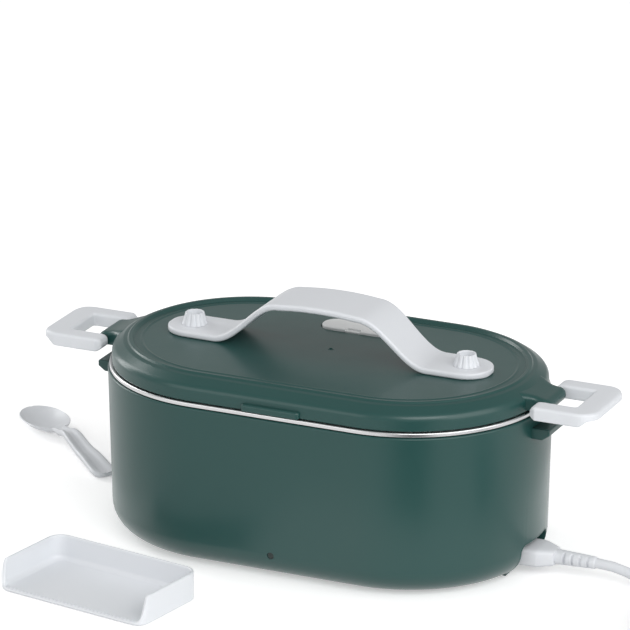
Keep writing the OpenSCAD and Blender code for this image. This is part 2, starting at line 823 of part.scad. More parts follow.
module mains_plug() {
    color(cap_white) translate([mains_x, mains_y, mains_z]) difference() {
        intersection() {
            translate([0, -mains_body[1], 0]) linear_extrude(mains_body[2], center = true)
                polygon([
                    [-17, 0], [17, 0], [17.6, 8], [12, 24], [5, mains_body[1]],
                    [-5, mains_body[1]], [-12, 24], [-17.6, 8]]);
            rotate([0, 90, 0]) linear_extrude(60, center = true) polygon([
                [-6.8, -mains_body[1]], [6.8, -mains_body[1]], [7.8, -30], [6.6, -14],
                [4.2, 0], [-4.2, 0], [-6.6, -14], [-7.8, -30]]);
        }
        for (x = [-1, 1]) translate([x * mains_pin_pitch / 2, -mains_body[1] - 1, 0])
            rotate([-90, 0, 0]) cylinder(r = mains_root_r, h = 7, $fn = small);
    }
}

module mains_pins() {
    color("silver") for (x = [-1, 1])
        translate([mains_x + x * mains_pin_pitch / 2, mains_y - mains_body[1], mains_z])
            rotate([90, 0, 0]) {
                cylinder(r = mains_pin_r, h = mains_pin_length, $fn = 48);
                translate([0, 0, -6]) cylinder(r = mains_root_r, h = 7, $fn = small);
            }
}

base_shell();
inner_well();
bottom_cover();
base_screws();
rubber_feet();
heating_plate();
plate_gasket();
ptc_heater();
heater_clamp();
clamp_screws();
thermal_fuse();
inlet_socket();
inlet_pins();
led_board();
led_lamp();
inner_wires();
food_container();
lid_shell();
lid_inner_plate();
lid_seal();
handle_strap();
handle_caps();
handle_screws();
latch_pins();
vent_plug();
latch_left();
latch_right();
separator();
spoon();
plug_body();
plug_contacts();
strain_relief();
power_cord();
cord_coil();
coil_tie();
cord_tail();
mains_plug();
mains_pins();
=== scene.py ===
import math

import bmesh
import bpy
from mathutils import Matrix, Vector


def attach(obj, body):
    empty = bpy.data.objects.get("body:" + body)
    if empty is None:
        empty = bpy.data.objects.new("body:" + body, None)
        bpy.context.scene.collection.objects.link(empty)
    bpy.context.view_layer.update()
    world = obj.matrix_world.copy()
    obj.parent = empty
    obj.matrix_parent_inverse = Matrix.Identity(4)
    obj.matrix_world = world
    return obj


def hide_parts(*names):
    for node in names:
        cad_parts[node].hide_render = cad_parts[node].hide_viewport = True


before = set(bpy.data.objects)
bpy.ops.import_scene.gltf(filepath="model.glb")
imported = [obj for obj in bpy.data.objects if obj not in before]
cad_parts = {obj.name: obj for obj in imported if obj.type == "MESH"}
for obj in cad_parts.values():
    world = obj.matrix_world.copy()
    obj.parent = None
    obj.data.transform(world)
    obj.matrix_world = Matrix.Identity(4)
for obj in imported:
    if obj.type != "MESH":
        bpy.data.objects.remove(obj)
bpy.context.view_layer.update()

MM = 0.001  # the shapes below are drawn in millimetres
SHIFT = 42.0  # the stadium's end centres, from the middle

# ---------------------------------------------------------------- materials


def material(name, colour, rough, metal=0.0, specular=0.5, grain=0.0, grain_scale=900.0,
             mottle=0.0, rough_vary=0.0, stretch=(1, 1, 1), coat=0.0, sub=0.0):
    """A procedural finish: fine surface grain, a slight unevenness of tone and of sheen."""
    mat = bpy.data.materials.new(name)
    mat.use_nodes = True
    tree = mat.node_tree
    shader = tree.nodes["Principled BSDF"]
    shader.inputs["Base Color"].default_value = (*colour, 1)
    shader.inputs["Roughness"].default_value = rough
    shader.inputs["Metallic"].default_value = metal
    shader.inputs["Specular IOR Level"].default_value = specular
    shader.inputs["Coat Weight"].default_value = coat
    shader.inputs["Coat Roughness"].default_value = 0.25
    if sub:
        shader.inputs["Subsurface Weight"].default_value = sub
        shader.inputs["Subsurface Radius"].default_value = (0.004, 0.004, 0.004)
        shader.inputs["Subsurface Scale"].default_value = 0.5
    place = tree.nodes.new("ShaderNodeTexCoord")
    mapping = tree.nodes.new("ShaderNodeMapping")
    mapping.inputs["Scale"].default_value = stretch
    tree.links.new(place.outputs["Object"], mapping.inputs["Vector"])

    def noise(scale, detail=2.0):
        node = tree.nodes.new("ShaderNodeTexNoise")
        node.inputs["Scale"].default_value = scale
        node.inputs["Detail"].default_value = detail
        tree.links.new(mapping.outputs["Vector"], node.inputs["Vector"])
        return node.outputs["Fac"]

    def spread(value, low, high):
        node = tree.nodes.new("ShaderNodeMapRange")
        node.inputs["To Min"].default_value = low
        node.inputs["To Max"].default_value = high
        tree.links.new(value, node.inputs["Value"])
        return node.outputs["Result"]

    if mottle:
        ramp = tree.nodes.new("ShaderNodeMix")
        ramp.data_type = "RGBA"
        ramp.inputs["A"].default_value = (*[c * (1 - mottle) for c in colour], 1)
        ramp.inputs["B"].default_value = (*[min(1, c * (1 + mottle)) for c in colour], 1)
        tree.links.new(noise(14.0), ramp.inputs["Factor"])
        tree.links.new(ramp.outputs["Result"], shader.inputs["Base Color"])
    if rough_vary:
        tree.links.new(spread(noise(60.0, 4.0), rough - rough_vary, rough + rough_vary),
                       shader.inputs["Roughness"])
    if grain:
        bump = tree.nodes.new("ShaderNodeBump")
        bump.inputs["Strength"].default_value = grain
        bump.inputs["Distance"].default_value = 0.0001
        tree.links.new(noise(grain_scale, 3.0), bump.inputs["Height"])
        tree.links.new(bump.outputs["Normal"], shader.inputs["Normal"])
    return mat


GREEN = material("green_satin", (0.0105, 0.0585, 0.053), 0.40, specular=0.28, grain=0.25,
                 grain_scale=1500, mottle=0.03, rough_vary=0.04, coat=0.45)
WELL = material("green_inside", (0.010, 0.062, 0.052), 0.48, grain=0.2, grain_scale=1500,
                mottle=0.04, rough_vary=0.05)
STEEL = material("brushed_steel", (0.72, 0.72, 0.725), 0.28, metal=1.0, grain=0.04,
                 grain_scale=40, stretch=(3, 3, 120), rough_vary=0.03)
WHITE = material("white_satin", (0.70, 0.72, 0.75), 0.38, grain=0.12, grain_scale=1500,
                 mottle=0.012, rough_vary=0.04, sub=0.05)
LOOSE = material("white_gloss", (0.745, 0.765, 0.795), 0.34, grain=0.1, grain_scale=1500,
                 mottle=0.012, rough_vary=0.04, sub=0.05)
CORD = material("white_rubber", (0.72, 0.735, 0.765), 0.45, grain=0.15, grain_scale=1200,
                mottle=0.015, rough_vary=0.05, sub=0.05)
SEAL = material("white_silicone", (0.78, 0.79, 0.79), 0.5, grain=0.1, mottle=0.01,
                rough_vary=0.04, sub=0.1)
METAL = material("plated_steel", (0.62, 0.62, 0.64), 0.24, metal=1.0, grain=0.1,
                 rough_vary=0.05)
ALU = material("cast_aluminium", (0.66, 0.67, 0.68), 0.36, metal=1.0, grain=0.3,
               grain_scale=700, rough_vary=0.06)
RUBBER = material("foot_rubber", (0.035, 0.038, 0.042), 0.65, grain=0.3, mottle=0.05,
                  rough_vary=0.05)
DARK = material("dark_plastic", (0.02, 0.023, 0.024), 0.5, grain=0.2, mottle=0.05,
                rough_vary=0.05)
BOARD = material("board_green", (0.03, 0.14, 0.07), 0.4, grain=0.1, mottle=0.08,
                 rough_vary=0.05)
CERAMIC = material("ceramic", (0.60, 0.53, 0.40), 0.6, grain=0.3, mottle=0.04,
                   rough_vary=0.05)
LENS = material("lamp_lens", (0.012, 0.022, 0.02), 0.25, specular=0.4, grain=0.05,
                mottle=0.02, rough_vary=0.03)
WIRE = material("wire_red", (0.42, 0.05, 0.04), 0.4, grain=0.1, mottle=0.03,
                rough_vary=0.04)
BRASS = material("contact_brass", (0.72, 0.52, 0.26), 0.3, metal=1.0, grain=0.1,
                 rough_vary=0.05)

CAD_FINISH = {
    "bottom_cover": GREEN, "base_screws": METAL, "rubber_feet": RUBBER,
    "heating_plate": ALU, "plate_gasket": SEAL, "ptc_heater": CERAMIC,
    "heater_clamp": ALU, "clamp_screws": METAL, "thermal_fuse": CERAMIC,
    "inlet_socket": DARK, "inlet_pins": METAL, "led_board": BOARD, "led_lamp": LENS,
    "inner_wires": WIRE, "lid_inner_plate": WHITE, "handle_screws": METAL,
    "latch_pins": METAL, "plug_contacts": BRASS, "coil_tie": RUBBER, "mains_pins": METAL,
    "base_shell": GREEN, "inner_well": WELL, "food_container": STEEL, "lid_shell": GREEN,
    "lid_seal": SEAL, "handle_strap": WHITE, "handle_caps": WHITE, "vent_plug": SEAL,
    "latch_left": WHITE, "latch_right": WHITE, "separator": LOOSE, "spoon": LOOSE,
    "plug_body": CORD, "strain_relief": CORD, "power_cord": CORD, "cord_coil": CORD,
    "cord_tail": CORD, "mains_plug": CORD,
}
for node, finish in CAD_FINISH.items():
    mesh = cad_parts[node].data
    mesh.materials.clear()
    mesh.materials.append(finish)

# ---------------------------------------------------------------- mesh helpers


def unit(v):
    length = math.hypot(*v)
    return tuple(c / length for c in v)


def rounded(points, turn=14.0):
    """A line of (x, y) or (x, y, radius) points with its corners rounded."""
    out = []
    for i, p in enumerate(points):
        radius = p[2] if len(p) > 2 else 0
        if not radius or i in (0, len(points) - 1):
            out.append((p[0], p[1]))
            continue
        a, b = points[i - 1], points[i + 1]
        d0, d1 = unit((a[0] - p[0], a[1] - p[1])), unit((b[0] - p[0], b[1] - p[1]))
        half = math.acos(max(-1, min(1, d0[0] * d1[0] + d0[1] * d1[1]))) / 2
        if half > math.radians(89.5):
            out.append((p[0], p[1]))
            continue
        reach = radius / math.tan(half)
        start = (p[0] + d0[0] * reach, p[1] + d0[1] * reach)
        end = (p[0] + d1[0] * reach, p[1] + d1[1] * reach)
        mid = unit((d0[0] + d1[0], d0[1] + d1[1]))
        centre = (p[0] + mid[0] * radius / math.sin(half),
                  p[1] + mid[1] * radius / math.sin(half))
        a0 = math.atan2(start[1] - centre[1], start[0] - centre[0])
        a1 = math.atan2(end[1] - centre[1], end[0] - centre[0])
        sweep = (a1 - a0 + math.pi) % (2 * math.pi) - math.pi
        count = max(2, math.ceil(abs(math.degrees(sweep)) / turn))
        out += [(centre[0] + radius * math.cos(a0 + sweep * k / count),
                 centre[1] + radius * math.sin(a0 + sweep * k / count))
                for k in range(count + 1)]
    return out


def loop(points, turn=14.0):
    """A closed outline of (x, y, radius) points with its corners rounded."""
    n = len(points)
    out = []
    for i in range(n):
        out += rounded([points[i - 1], points[i], points[(i + 1) % n]], turn)[1:-1]
    return out


def build(name, verts, faces, finish, body, replaced=(), weighted=True, slot=None,
          sharp=None):
    mesh = bpy.data.meshes.new(name)
    mesh.from_pydata([(x * MM, y * MM, z * MM) for x, y, z in verts], [], faces)
    work = bmesh.new()
    work.from_mesh(mesh)
    bmesh.ops.remove_doubles(work, verts=work.verts, dist=0.000002)
    bmesh.ops.recalc_face_normals(work, faces=work.faces)
    work.to_mesh(mesh)
    work.free()
    obj = bpy.data.objects.new(name, mesh)
    bpy.context.scene.collection.objects.link(obj)
    finish_mesh(obj, finish, weighted, sharp)
    settle(obj, body, replaced, slot)
    return obj


def finish_mesh(obj, finish, weighted=True, sharp=None):
    mesh = obj.data
    mesh.materials.clear()
    mesh.materials.append(finish)
    for face in mesh.polygons:
        face.use_smooth = True
        face.material_index = 0
    if sharp:
        mesh.set_sharp_from_angle(angle=math.radians(sharp))
    if weighted:
        modifier = obj.modifiers.new("soft_faces", "WEIGHTED_NORMAL")
        modifier.keep_sharp = True


def settle(obj, body, replaced, slot):
    if body:
        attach(obj, body)
    if replaced:
        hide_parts(*replaced)


def strips(rings, closed_ring=True, closed_path=False):
    """Vertices and faces of a skin over rings of points."""
    n = len(rings[0])
    verts = [p for r in rings for p in r]
    faces = []
    for i in range(len(rings) if closed_path else len(rings) - 1):
        j = (i + 1) % len(rings)
        for k in range(n if closed_ring else n - 1):
            m = (k + 1) % n
            faces.append((i * n + k, i * n + m, j * n + m, j * n + k))
    return verts, faces


def stadium_stations(turn, straight=12):
    """Points of the middle line round the stadium, each with its outward direction."""
    out = []
    count = round(180 / turn)
    for k in range(count + 1):
        a = math.radians(-90 + 180 * k / count)
        out.append(((SHIFT, 0.0), (math.cos(a), math.sin(a))))
    for k in range(1, straight):
        out.append(((SHIFT - 2 * SHIFT * k / straight, 0.0), (0.0, 1.0)))
    for k in range(count + 1):
        a = math.radians(90 + 180 * k / count)
        out.append(((-SHIFT, 0.0), (math.cos(a), math.sin(a))))
    for k in range(1, straight):
        out.append(((-SHIFT + 2 * SHIFT * k / straight, 0.0), (0.0, -1.0)))
    return out


def sweep(name, profile, finish, body, replaced=(), fill=(), turn=3.0, slot=None):
    """Sweeps a profile of (distance from the middle line, height) round the stadium."""
    stations = stadium_stations(turn)
    rings = [[(b[0] + s * n[0], b[1] + s * n[1], z) for s, z in profile]
             for b, n in stations]
    verts, faces = strips(rings, closed_ring=False, closed_path=True)
    n = len(profile)
    for k in fill:
        k %= n
        faces.append(tuple(i * n + k for i in range(len(stations))))
    return build(name, verts, faces, finish, body, replaced, slot=slot)


def inset(points, d):
    """An anticlockwise outline drawn in by a distance."""
    out = []
    n = len(points)
    for i, p in enumerate(points):
        a, b = points[i - 1], points[(i + 1) % n]
        e0, e1 = unit((p[0] - a[0], p[1] - a[1])), unit((b[0] - p[0], b[1] - p[1]))
        n0, n1 = (-e0[1], e0[0]), (-e1[1], e1[0])
        m = (n0[0] + n1[0], n0[1] + n1[1])
        length = math.hypot(*m)
        if length < 1e-6:
            m, length = n0, 1.0
        m = (m[0] / length, m[1] / length)
        reach = d / max(0.35, m[0] * n0[0] + m[1] * n0[1])
        out.append((p[0] + m[0] * reach, p[1] + m[1] * reach))
    return out


def slab_parts(outline, low, high, r_low=0.6, r_high=0.6, place=None, steps=5):
    """Vertices and faces of an outline drawn anticlockwise, given thickness and soft edges."""
    place = place or (lambda x, y, z: (x, y, z))
    rings = []

    def ring(d, z):
        rings.append([place(x, y, z) for x, y in inset(outline, d)])

    if r_low:
        for k in range(steps + 1):
            t = math.pi / 2 * k / steps
            ring(r_low * (1 - math.sin(t)), low + r_low * (1 - math.cos(t)))
    else:
        ring(0, low)
    if r_high:
        for k in range(steps + 1):
            t = math.pi / 2 * (1 - k / steps)
            ring(r_high * (1 - math.sin(t)), high - r_high * (1 - math.cos(t)))
    else:
        ring(0, high)
    verts, faces = strips(rings)
    n = len(outline)
    faces.append(tuple(range(n - 1, -1, -1)))
    faces.append(tuple(range((len(rings) - 1) * n, len(rings) * n)))
    return verts, faces


def joined(*parts):
    verts, faces = [], []
    for v, f in parts:
        base = len(verts)
        verts += v
        faces += [tuple(i + base for i in face) for face in f]
    return verts, faces


def slab(name, outline, low, high, finish, body, replaced=(), slot=None, **options):
    verts, faces = slab_parts(outline, low, high, **options)
    return build(name, verts, faces, finish, body, replaced, slot=slot)


def circle(x, y, r, count=32):
    return [(x + r * math.cos(2 * math.pi * k / count),
             y + r * math.sin(2 * math.pi * k / count)) for k in range(count)]


def cut(obj, cutters, finish, sharp=30):
    """Cuts shapes out of a piece, for good, and gives it its finish again."""
    obj.modifiers.clear()
    for cutter in cutters:
        modifier = obj.modifiers.new("cut", "BOOLEAN")
        modifier.operation = "DIFFERENCE"
        modifier.solver = "EXACT"
        modifier.object = cutter
    made = bpy.data.meshes.new_from_object(
        obj.evaluated_get(bpy.context.evaluated_depsgraph_get()))
    obj.modifiers.clear()
    obj.data = made
    for cutter in cutters:
        bpy.data.objects.remove(cutter)
    finish_mesh(obj, finish, True, sharp)


def cutter(outline, low, high, place=None):
    verts, faces = slab_parts(outline, low, high, 0, 0, place)
    return build("cutter", verts, faces, DARK, None, weighted=False)


def smooth_step(t):
    t = max(0.0, min(1.0, t))
    return t * t * (3 - 2 * t)


# ---------------------------------------------------------------- heated base

SIDE, LEDGE, RIM, FOOT = 68.0, 81.5, 83.0, 1.6
FLAT = 53.5


def base_radius(z):
    """Distance of the shell's outside from the middle line at a height."""
    if z < FOOT + 13:
        return FLAT + math.sqrt(max(0.0, 169 - (FOOT + 13 - z) ** 2))
    return 66.5 + 1.5 * (z - 14.6) / (LEDGE - 14.6)


def shell_x(y, z):
    """X of the shell's outside at its right end."""
    r = base_radius(max(FOOT, z))
    return SHIFT + math.sqrt(max(0.0, r * r - y * y))


def along_x(x, y, z):
    """Stands an outline of Y and Z up along X."""
    return (z, x, y)


shell_profile = rounded([
    (50.5, 3.7), (50.5, FOOT), (66.2, FOOT, 13), (SIDE, LEDGE, 0.8), (65.6, LEDGE, 0.3),
    (64.1, 12.4, 9), (53.5, 4.2, 2), (50.5, 3.7)], 9)
base = sweep("base_body", shell_profile, GREEN, None, turn=2.5)

RECESS_BACK, RECESS_HALF, RECESS_TOP = 99.0, 15.0, 17.0
recess_path = rounded([(RECESS_HALF, FOOT), (RECESS_HALF, RECESS_TOP, 3.5),
                       (-RECESS_HALF, RECESS_TOP, 3.5), (-RECESS_HALF, FOOT)], 9)
recess_cut = loop([(RECESS_HALF + 0.7, -4, 0), (RECESS_HALF + 0.7, RECESS_TOP + 0.7, 4.2),
                   (-RECESS_HALF - 0.7, RECESS_TOP + 0.7, 4.2), (-RECESS_HALF - 0.7, -4, 0)],
                  9)
LED_Z = 13.4
cut(base, [cutter(recess_cut, 97.6, 130, along_x),
           cutter(circle(0, LED_Z, 1.75), -80, -60, lambda x, y, z: (x, z, y))], GREEN)
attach(base, "base")
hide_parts("base_shell")

# the lining of the inlet recess, with a fine rounded lip round its mouth
densified = []
for (y0, z0), (y1, z1) in zip(recess_path, recess_path[1:]):
    count = max(1, round(math.hypot(y1 - y0, z1 - z0) / 1.2))
    densified += [(y0 + (y1 - y0) * k / count, z0 + (z1 - z0) * k / count)
                  for k in range(count)]
densified.append(recess_path[-1])
lining = []
for i, (y, z) in enumerate(densified):
    a, b = densified[max(0, i - 1)], densified[min(len(densified) - 1, i + 1)]
    t = unit((b[0] - a[0], b[1] - a[1]))
    out = (t[1], -t[0])  # away from the recess

    def mouth(offset, lift):
        py, pz = y + out[0] * offset, z + out[1] * offset
        return (max(RECESS_BACK, shell_x(py, pz) + lift), py, pz)

    lining.append([(RECESS_BACK - 0.3, y, z), (mouth(0, -1.2)[0], y, z),
                   (mouth(0, -0.35)[0], y, z), mouth(0.1, -0.1), mouth(0.3, 0.05),
                   mouth(0.55, 0.09), mouth(0.8, 0.06), mouth(1.05, -0.08),
                   mouth(1.3, -0.5)])
verts, faces = strips(lining, closed_ring=False)
build("inlet_recess_lining", verts, faces, GREEN, "base", ("base_shell",),
      slot="green_plastic")

wall = slab("inlet_recess_wall", [(y, z) for y, z in loop([
    (16, FOOT, 0), (16, 18, 4.5), (-16, 18, 4.5), (-16, FOOT, 0)], 9)],
    97.4, RECESS_BACK, GREEN, None, r_low=0, r_high=0, place=along_x)
cut(wall, [cutter(circle(y, 9.1, 4.75, 40), 90, 105, along_x) for y in (-4.3, 4.3)]
    + [cutter([(-3, 6.1), (3, 6.1), (3, 12.1), (-3, 12.1)], 90.2, 105.2, along_x)], GREEN)
settle(wall, "base", ("base_shell",), "green_plastic")


def wedge(name, side):
    """A catch lug, slanted underneath for the latch to snap over."""
    outline = loop([(107.5, 76, 0), (118, 76, 0.9), (118, 73, 0.8), (114.5, 70.5, 0.8),
                    (107.5, 70.5, 0)])
    outline = outline[::-1]
    slab(name, outline, -11, 11, GREEN, "base", ("base_shell",), r_low=0.7, r_high=0.7,
         place=lambda x, y, z: (side * x, z, y), slot="green_plastic")


wedge("catch_lug_right", 1)
wedge("catch_lug_left", -1)

well_profile = rounded([
    (36, 19.2), (36, 21), (61.7, 21, 9.6), (64.1, RIM, 0.55), (65.5, RIM, 0.45),
    (63.1, 19.2, 11), (36, 19.2)], 9)
sweep("well_liner", well_profile, WELL, "base", ("inner_well",), slot="well_plastic",
      turn=2.5)

# ---------------------------------------------------------------- food container

FLANGE, SHEET = 83.05, 0.8
pot_profile = rounded([
    (40, 24.05), (59.35, 24.05, 14), (61.4, FLANGE, 0.5), (66.45, FLANGE, 0.2),
    (66.45, 81.85, 0.15), (67.2, 81.85, 0.3), (67.2, FLANGE + SHEET, 0.6),
    (60.65, FLANGE + SHEET, 1.2), (58.6, 24.85, 13.2), (40, 24.85)], 9)
sweep("steel_container", pot_profile, STEEL, "container", ("food_container",),
      fill=(0, -1), slot="steel", turn=2.5)

# ---------------------------------------------------------------- lid

SKIRT, PANEL, BEAD = 84.25, 94.85, 96.25
lid_profile = rounded([
    (40, PANEL - 2), (55, PANEL - 2, 1), (62, 89.6, 3), (63.9, SKIRT + 1, 0.5),
    (63.9, SKIRT, 0.3), (66, SKIRT, 0.45), (66, 91.2, 4.4), (60.4, 94.9, 2.5),
    (58.5, 95.3, 0.7), (57.7, 96.2, 0.7), (56.2, 96.1, 0.7), (55.0, 94.7, 0.6),
    (53.8, PANEL - 0.05, 0.6), (52.6, PANEL + 0.02, 0.4), (51.6, PANEL + 0.38, 0.6),
    (50.5, PANEL, 0.6), (40, PANEL)], 9)
lid = sweep("lid_cover", lid_profile, GREEN, None, fill=(0, -1), turn=2.5)


def vent_outline(gap):
    r, span = 7.5 - gap, 11.5
    right = [(span + r * math.cos(math.radians(a)), 34 + r * math.sin(math.radians(a)))
             for a in range(-90, 91, 10)]
    left = [(-span + r * math.cos(math.radians(a)), 34 + r * math.sin(math.radians(a)))
            for a in range(90, 271, 10)]
    return right + left


cut(lid, [cutter(vent_outline(0), PANEL - 1.0, PANEL + 2),
          cutter(circle(0, 2, 0.8, 20), PANEL - 1.9, PANEL + 2)], GREEN)
settle(lid, "lid", ("lid_shell",), "green_plastic")

# raised ring round the steam hole
ring_profile = [(0.8, -0.1), (0.85, 0.12), (1.05, 0.2), (1.3, 0.16), (1.5, 0.0), (1.5, -0.1)]
rings = [[(s * math.cos(a), 2 + s * math.sin(a), PANEL + z) for s, z in ring_profile]
         for a in [2 * math.pi * k / 32 for k in range(32)]]
verts, faces = strips(rings, closed_ring=False, closed_path=True)
build("steam_hole_ring", verts, faces, GREEN, "lid", ("lid_shell",), slot="green_plastic")

PIN_X, PIN_Z = 114.6, 87.25


def ear(name, side):
    """The domed tongue that carries a latch pin, flowing out of the lid's shoulder."""
    half = 11.0
    rings = []
    ys = [-1.0, -0.995, -0.98, -0.95, -0.9, -0.82, -0.7, -0.5, -0.25, 0.0,
          0.25, 0.5, 0.7, 0.82, 0.9, 0.95, 0.98, 0.995, 1.0]
    for q in ys:
        edge = max(0.0, abs(q) * half - (half - 2.2)) / 2.2
        drop = 2.2 * (1 - math.sqrt(max(0.0, 1 - edge * edge)))
        top = [(100.2, 94.2), (103.0, 93.6), (105.5, 92.9), (108.0, 92.15), (110.5, 91.5),
               (112.6, 91.0)]
        nose = [(PIN_X + 3.4 * math.sin(math.radians(a)),
                 PIN_Z + 3.4 * math.cos(math.radians(a))) for a in range(0, 181, 12)]
        low = [(112.0, 83.95), (109.0, 84.2), (105.0, 84.6)]
        ring = []
        for x, z in top + nose + low:
            y = q * (half + 4.2 * smooth_step((110.6 - x) / 7.6))
            dx, dz = x - 108.0, z - 87.6
            if (x, z) in low:
                ring.append((side * (x - drop * 0.3), y, z + drop * 0.5))
            elif (x, z) in top:
                ring.append((side * x, y, z - drop))
            else:
                length = math.hypot(dx, dz)
                ring.append((side * (x - drop * dx / length), y, z - drop * dz / length))
        rings.append(ring)
    verts, faces = strips(rings, closed_ring=True)
    n = len(rings[0])
    faces.append(tuple(range(n)))
    faces.append(tuple(range((len(rings) - 1) * n, len(rings) * n)))
    build(name, verts, faces, GREEN, "lid", ("lid_shell",), slot="green_plastic", sharp=50)


ear("latch_ear_right", 1)
ear("latch_ear_left", -1)

# thumb tab at the front of the skirt
tab = [(x, y) for x, y in rounded([(-15, -64.4), (-15, -68.2, 2.0), (15, -68.2, 2.0),
                                   (15, -64.4)])]
slab("lid_thumb_tab", tab, SKIRT, SKIRT + 3.4, GREEN, "lid", ("lid_shell",),
     r_low=0.6, r_high=1.1, slot="green_plastic")

# seal: its lip enters the container's mouth
seal_profile = rounded([
    (55.4, SKIRT + 1.35), (55.4, SKIRT - 4.4, 0.6), (59.6, SKIRT - 4.4, 0.7),
    (60.2, SKIRT - 1.6, 0.5), (60.7, SKIRT - 0.35, 0.3), (63.6, SKIRT - 0.35, 0.35),
    (63.6, SKIRT + 1.35)], 15)
sweep("lid_seal_ring", seal_profile, SEAL, "lid", ("lid_seal",), slot="silicone")

# silicone vent flap with a finger notch
flap = slab("vent_flap", vent_outline(0.6), PANEL - 0.9, PANEL + 1.3, SEAL, None,
            r_low=0.3, r_high=0.7)
cut(flap, [cutter(loop([(-4, 24, 0), (4, 24, 0), (4, 29.6, 1.5), (-4, 29.6, 1.5)]),
                  PANEL + 0.5, PANEL + 3)], SEAL)
settle(flap, "vent", ("vent_plug",), "silicone")

# ---------------------------------------------------------------- handle

CAP_X, STRAP_END = 71, 13.0  # the caps' places, and the radius of the strap's ends


def strap_lift(x):
    """How far the strap stands above its feet."""
    t = min(max((abs(x) - 20) / 36, 0), 1)
    return (22.5 * (0.5 + 0.5 * math.cos(math.pi * t))
            - 1.2 * (min(abs(x), 20) / 20) ** 2 * (1 - t))


def strap_half(x):
    """Half the strap's width: wider over the crest, round at the feet."""
    x = abs(x)
    if x > CAP_X:
        return math.sqrt(max(0.0, STRAP_END ** 2 - (x - CAP_X) ** 2))
    points = [(0, 15.5), (20, 15.4), (24, 15.15), (40, 13.6), (50, 13.2), (CAP_X, STRAP_END)]
    for (x0, w0), (x1, w1) in zip(points, points[1:]):
        if x <= x1:
            return w0 + (w1 - w0) * (x - x0) / (x1 - x0)
    return STRAP_END


def strap():
    t = 3.2
    xs = [84 - 13 * (1 - math.cos(math.radians(a))) for a in (1.5, 5, 9, 14, 20, 27, 35, 44,
                                                             54, 65, 77, 90)]
    xs = xs + [x / 10 for x in range(690, -1, -15)]
    xs = sorted({round(x, 3) for x in xs} | {-round(x, 3) for x in xs})
    rings = []
    for x in xs:
        w = strap_half(x)
        rim = max(0.0, abs(x) - 82.8)
        thin = 1.2 * (1 - math.sqrt(max(0.0, 1 - (rim / 1.2) ** 2)))
        r = min(1.25, w * 0.9, (t - 2 * thin) / 2 - 0.01)
        r = max(r, 0.05)
        slope = (strap_lift(x + 0.2) - strap_lift(x - 0.2)) / 0.4
        length = math.hypot(1, slope)
        up = (-slope / length, 1 / length)
        base_z = PANEL + 0.05 + strap_lift(x)
        mid = (x, base_z + t / 2)
        half_t = t / 2 - thin
        section = []
        for cy, cz, a0 in ((w - r, half_t - r, 0), (-(w - r), half_t - r, 90),
                           (-(w - r), -(half_t - r), 180), (w - r, -(half_t - r), 270)):
            for k in range(6):
                a = math.radians(a0 + 18 * k)
                section.append((cy + r * math.cos(a), cz + r * math.sin(a)))
        # the thickness stays upright over the feet and leans with the ramps
        rings.append([(mid[0] + up[0] * v * 0.35, u, mid[1] + v) for u, v in section])
    verts, faces = strips(rings)
    n = len(rings[0])
    faces += [tuple(range(n)), tuple(range((len(rings) - 1) * n, len(rings) * n))]
    build("strap_handle", verts, faces, WHITE, "lid", ("handle_strap",),
          slot="white_plastic")


strap()


def cap(name, side):
    """A tapered fixing cap with twelve flutes and a hollow top."""
    foot_z, count, flutes, flute_depth = 98.15, 96, 12, 0.62
    rings = []
    levels = [(0.0, 6.3, 1.0), (0.25, 6.28, 1.0), (1.4, 5.88, 1.0), (2.8, 5.4, 1.0),
              (4.2, 4.98, 1.0), (5.2, 4.72, 1.0), (5.6, 4.6, 0.9), (5.78, 4.45, 0.6),
              (5.8, 4.3, 0.3), (5.76, 4.1, 0.1), (5.6, 3.95, 0.0), (5.3, 3.85, 0.0),
              (1.6, 3.6, 0.0), (1.3, 3.4, 0.0), (1.2, 2.6, 0.0), (1.2, 1.8, 0.0),
              (0.4, 1.3, 0.0), (0.2, 1.0, 0.0)]
    for z, r, flute in levels:
        ring = []
        for k in range(count):
            a = 2 * math.pi * k / count
            hollow = max(0.0, math.cos(flutes * a)) ** 1.6
            rr = r - flute_depth * flute * hollow
            ring.append((side * CAP_X + rr * math.cos(a), rr * math.sin(a), foot_z + z))
        rings.append(ring)
    verts, faces = strips(rings)
    faces.append(tuple(range((len(rings) - 1) * count, len(rings) * count)))
    foot = slab_parts(circle(side * CAP_X, 0, 3.5, 48), 94.9, 98.4, 0, 0)
    verts, faces = joined((verts, faces), foot)
    build(name, verts, faces, WHITE, "lid", ("handle_caps",), slot="white_plastic",
          weighted=False, sharp=65)


cap("handle_cap_right", 1)
cap("handle_cap_left", -1)

# ---------------------------------------------------------------- latches


